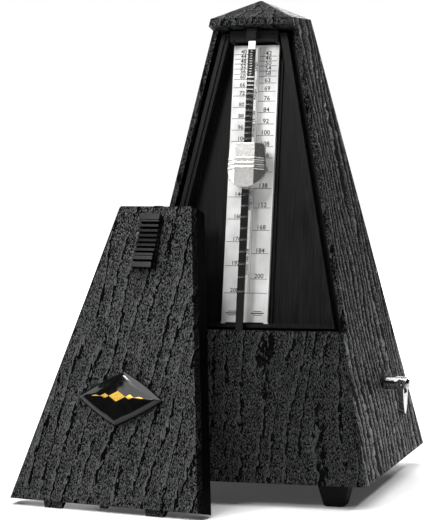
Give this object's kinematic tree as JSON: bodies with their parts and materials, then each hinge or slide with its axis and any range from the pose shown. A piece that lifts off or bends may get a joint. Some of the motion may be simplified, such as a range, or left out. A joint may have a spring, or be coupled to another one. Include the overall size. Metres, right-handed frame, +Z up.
{
  "type": "pyramid metronome",
  "caption": "Wind-up pyramid metronome in grained black plastic, front cover lifted off and leaning beside it; swinging rod, sliding weight, folding key.",
  "frame": {"origin": "centre of the overall bounding box at table level; feet and cover tabs stand on z = 0", "axes": "+Z up, scale and pendulum face -Y, winding key on the +X side, lifted-off cover leans at the -X -Y side"},
  "size_m": [0.1644, 0.1624, 0.226],
  "materials": {
    "grained_plastic": "black moulded plastic with embossed wood grain",
    "smooth_plastic": "smooth black moulded plastic",
    "foot_rubber": "black rubber",
    "scale_metal": "satin silver sheet with printed scale",
    "steel": "plain steel",
    "plated": "bright nickel plate",
    "brass": "rolled brass",
    "spring_steel": "blued spring steel",
    "badge_gloss": "glossy black dome with a gold ornament"
  },
  "bodies": {
    "case": {"case_shell": "grained_plastic", "front_panel": "smooth_plastic", "scale_backing": "smooth_plastic", "scale_plate": "scale_metal", "pendulum_catch": "smooth_plastic", "bottom_plate": "smooth_plastic", "foot_front_left": "foot_rubber", "foot_front_right": "foot_rubber", "foot_rear": "foot_rubber", "bottom_screw_1": "steel", "bottom_screw_2": "steel", "bottom_screw_3": "steel", "bottom_screw_4": "steel", "movement_plate_left": "brass", "movement_plate_right": "brass", "movement_pillar_1": "steel", "movement_pillar_2": "steel", "movement_pillar_3": "steel", "movement_pillar_4": "steel", "front_bridge": "brass", "rear_cock": "brass", "click_screw": "steel", "click_spring": "spring_steel", "key_bushing": "smooth_plastic"},
    "pendulum": {"pendulum_arbor": "steel", "pendulum_hub": "brass", "pallet_entry": "steel", "pallet_exit": "steel", "pendulum_rod": "steel", "counterweight": "brass"},
    "weight": {"slide_weight": "plated", "weight_spring": "spring_steel"},
    "winding": {"winding_arbor": "plated", "ratchet_wheel": "steel", "key_pin": "plated"},
    "key": {"key_handle": "plated"},
    "train": {"great_wheel": "brass", "barrel": "brass", "barrel_lid": "brass", "mainspring": "spring_steel"},
    "second": {"second_arbor": "steel", "second_wheel": "brass"},
    "escape": {"escape_arbor": "steel", "escape_wheel": "brass"},
    "click": {"click": "steel"},
    "cover": {"cover_shell": "grained_plastic", "cover_badge": "badge_gloss", "latch_guide": "smooth_plastic", "latch_spring": "spring_steel"},
    "latch": {"latch_slider": "smooth_plastic", "latch_bolt": "smooth_plastic"}
  },
  "joints": [
    {"name": "pendulum_swing", "type": "hinge", "parent": "case", "child": "pendulum", "pos_m": [0.01485, -0.02621, 0.06791], "axis": [0, -0.9785, 0.2063], "range_deg": [-25, 25]},
    {"name": "weight_slide", "type": "slide", "parent": "pendulum", "child": "weight", "axis": [0, 0.2063, 0.9785], "range_m": [-0.0676, 0.0436]},
    {"name": "key_wind", "type": "hinge", "parent": "case", "child": "winding", "pos_m": [0.01485, 0.02795, 0.0469], "axis": [1, 0, 0], "continuous": true},
    {"name": "key_fold", "type": "hinge", "parent": "winding", "child": "key", "pos_m": [0.07878, 0.02795, 0.0469], "axis": [0, 1, 0], "range_deg": [-90, 0]},
    {"name": "train_turn", "type": "hinge", "parent": "case", "child": "train", "pos_m": [0.01485, 0.02795, 0.0469], "axis": [1, 0, 0], "continuous": true},
    {"name": "second_turn", "type": "hinge", "parent": "case", "child": "second", "pos_m": [0.01485, 0.0081, 0.0342], "axis": [1, 0, 0], "continuous": true},
    {"name": "escape_turn", "type": "hinge", "parent": "case", "child": "escape", "pos_m": [0.01485, -0.00553, 0.04376], "axis": [1, 0, 0], "continuous": true},
    {"name": "click_lift", "type": "hinge", "parent": "case", "child": "click", "pos_m": [0.01485, 0.03985, 0.0534], "axis": [1, 0, 0], "range_deg": [-15, 0], "stiffness_Nm_per_rad": 0.003, "springref_deg": 2.86},
    {"name": "cover_lift", "type": "slide", "parent": "case", "child": "cover", "axis": [0, 0, 1], "range_m": [0, 0.25]},
    {"name": "latch_slide", "type": "slide", "parent": "cover", "child": "latch", "axis": [0.0648, 0.3788, 0.9232], "range_m": [-0.004, 0], "stiffness_N_per_m": 300, "springref_m": 0.001, "deforming": ["latch_spring"]}
  ],
  "couplings": [
    {"joint": "second_turn", "follows": "train_turn", "ratio": -5.5},
    {"joint": "escape_turn", "follows": "train_turn", "ratio": 24.75}
  ]
}
